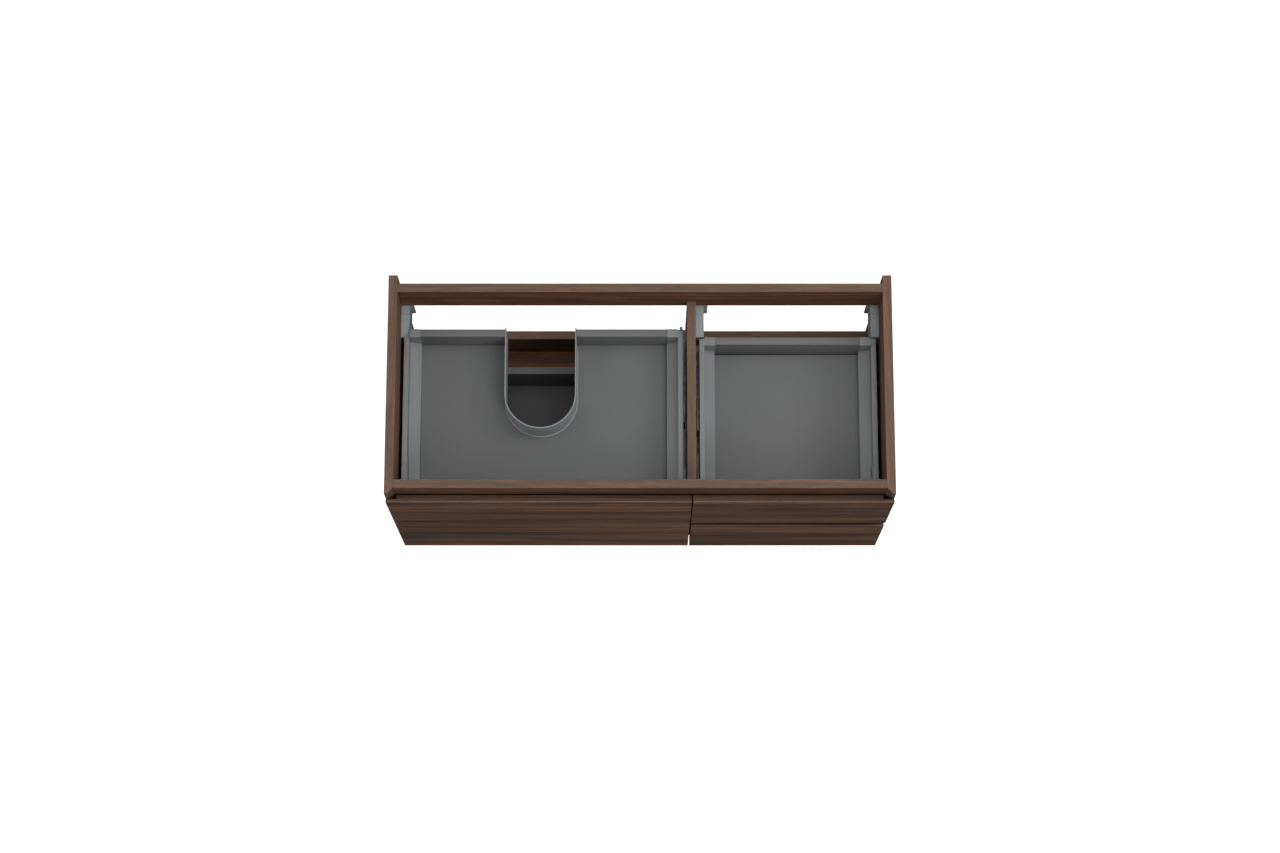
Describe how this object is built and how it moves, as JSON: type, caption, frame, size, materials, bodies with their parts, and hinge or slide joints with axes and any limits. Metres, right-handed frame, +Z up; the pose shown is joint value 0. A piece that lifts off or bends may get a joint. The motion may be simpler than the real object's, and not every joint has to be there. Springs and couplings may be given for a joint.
{
  "type": "bathroom vanity cabinet",
  "caption": "Wall-hung vanity cabinet, open at the top and back, with a tall front over an inner drawer with a siphon cut-out, and stacked drawers beside it.",
  "frame": {"origin": "on the wall plane, at the middle of the width, level with the carcass's top edges", "axes": "+X to the right as seen from the front, +Y into the wall, +Z up"},
  "size_m": [1, 0.454, 0.488],
  "materials": {
    "walnut": "dark walnut veneer on chipboard, matt lacquer",
    "drawer_board": "chipboard with grey melamine",
    "drawer_metal": "grey powder coat",
    "bracket_metal": "light grey powder coat",
    "cap_plastic": "moulded grey plastic",
    "runner_steel": "galvanised sheet steel",
    "hanger_metal": "grey zinc die casting",
    "zinc": "zinc die casting",
    "screw_steel": "zinc-plated steel",
    "beech": "plain beech"
  },
  "bodies": {
    "carcass": {"back_bottom_rail": "walnut", "back_top_rail": "walnut", "bottom_panel": "walnut", "carcass_bolts": "screw_steel", "carcass_cams": "zinc", "carcass_dowels": "beech", "front_top_rail": "walnut", "hanger_hooks": "hanger_metal", "hanger_housings": "hanger_metal", "hanger_screws": "screw_steel", "inner_cabinet_rails": "runner_steel", "left_cabinet_rails": "runner_steel", "left_side_panel": "walnut", "lower_cabinet_rails": "runner_steel", "partition_panel": "walnut", "right_side_panel": "walnut", "runner_screws": "screw_steel", "upper_cabinet_rails": "runner_steel"},
    "inner_drawer": {"inner_drawer_back_left": "drawer_board", "inner_drawer_back_right": "drawer_board", "inner_drawer_bottom": "drawer_board", "inner_drawer_corner_brackets": "bracket_metal", "inner_drawer_cover_caps": "cap_plastic", "inner_drawer_drawer_rails": "runner_steel", "inner_drawer_front": "drawer_metal", "inner_drawer_front_fixings": "zinc", "inner_drawer_side_left": "drawer_metal", "inner_drawer_side_right": "drawer_metal", "siphon_collar": "drawer_metal"},
    "inner_middle": {"inner_middle_rails": "runner_steel"},
    "left_drawer": {"left_drawer_back": "drawer_board", "left_drawer_bottom": "drawer_board", "left_drawer_corner_brackets": "bracket_metal", "left_drawer_cover_caps": "cap_plastic", "left_drawer_drawer_rails": "runner_steel", "left_drawer_front": "walnut", "left_drawer_front_fixings": "zinc", "left_drawer_side_left": "drawer_metal", "left_drawer_side_right": "drawer_metal"},
    "left_middle": {"left_middle_rails": "runner_steel"},
    "upper_drawer": {"upper_drawer_back": "drawer_board", "upper_drawer_bottom": "drawer_board", "upper_drawer_corner_brackets": "bracket_metal", "upper_drawer_cover_caps": "cap_plastic", "upper_drawer_drawer_rails": "runner_steel", "upper_drawer_front": "walnut", "upper_drawer_front_fixings": "zinc", "upper_drawer_side_left": "drawer_metal", "upper_drawer_side_right": "drawer_metal"},
    "upper_middle": {"upper_middle_rails": "runner_steel"},
    "lower_drawer": {"lower_drawer_back": "drawer_board", "lower_drawer_bottom": "drawer_board", "lower_drawer_corner_brackets": "bracket_metal", "lower_drawer_cover_caps": "cap_plastic", "lower_drawer_drawer_rails": "runner_steel", "lower_drawer_front": "walnut", "lower_drawer_front_fixings": "zinc", "lower_drawer_side_left": "drawer_metal", "lower_drawer_side_right": "drawer_metal"},
    "lower_middle": {"lower_middle_rails": "runner_steel"}
  },
  "joints": [
    {"name": "left_drawer_slide", "type": "slide", "parent": "carcass", "child": "left_drawer", "axis": [0, -1, 0], "range_m": [0, 0.33]},
    {"name": "left_middle_slide", "type": "slide", "parent": "carcass", "child": "left_middle", "axis": [0, -1, 0], "range_m": [0, 0.165]},
    {"name": "inner_drawer_slide", "type": "slide", "parent": "carcass", "child": "inner_drawer", "axis": [0, -1, 0], "range_m": [0, 0.33]},
    {"name": "inner_middle_slide", "type": "slide", "parent": "carcass", "child": "inner_middle", "axis": [0, -1, 0], "range_m": [0, 0.165]},
    {"name": "upper_drawer_slide", "type": "slide", "parent": "carcass", "child": "upper_drawer", "axis": [0, -1, 0], "range_m": [0, 0.33]},
    {"name": "upper_middle_slide", "type": "slide", "parent": "carcass", "child": "upper_middle", "axis": [0, -1, 0], "range_m": [0, 0.165]},
    {"name": "lower_drawer_slide", "type": "slide", "parent": "carcass", "child": "lower_drawer", "axis": [0, -1, 0], "range_m": [0, 0.33]},
    {"name": "lower_middle_slide", "type": "slide", "parent": "carcass", "child": "lower_middle", "axis": [0, -1, 0], "range_m": [0, 0.165]}
  ],
  "couplings": [
    {"joint": "left_middle_slide", "follows": "left_drawer_slide", "ratio": 0.5},
    {"joint": "inner_middle_slide", "follows": "left_drawer_slide", "ratio": 0.5},
    {"joint": "upper_middle_slide", "follows": "upper_drawer_slide", "ratio": 0.5},
    {"joint": "lower_middle_slide", "follows": "lower_drawer_slide", "ratio": 0.5},
    {"joint": "inner_drawer_slide", "follows": "left_drawer_slide", "ratio": 1}
  ]
}
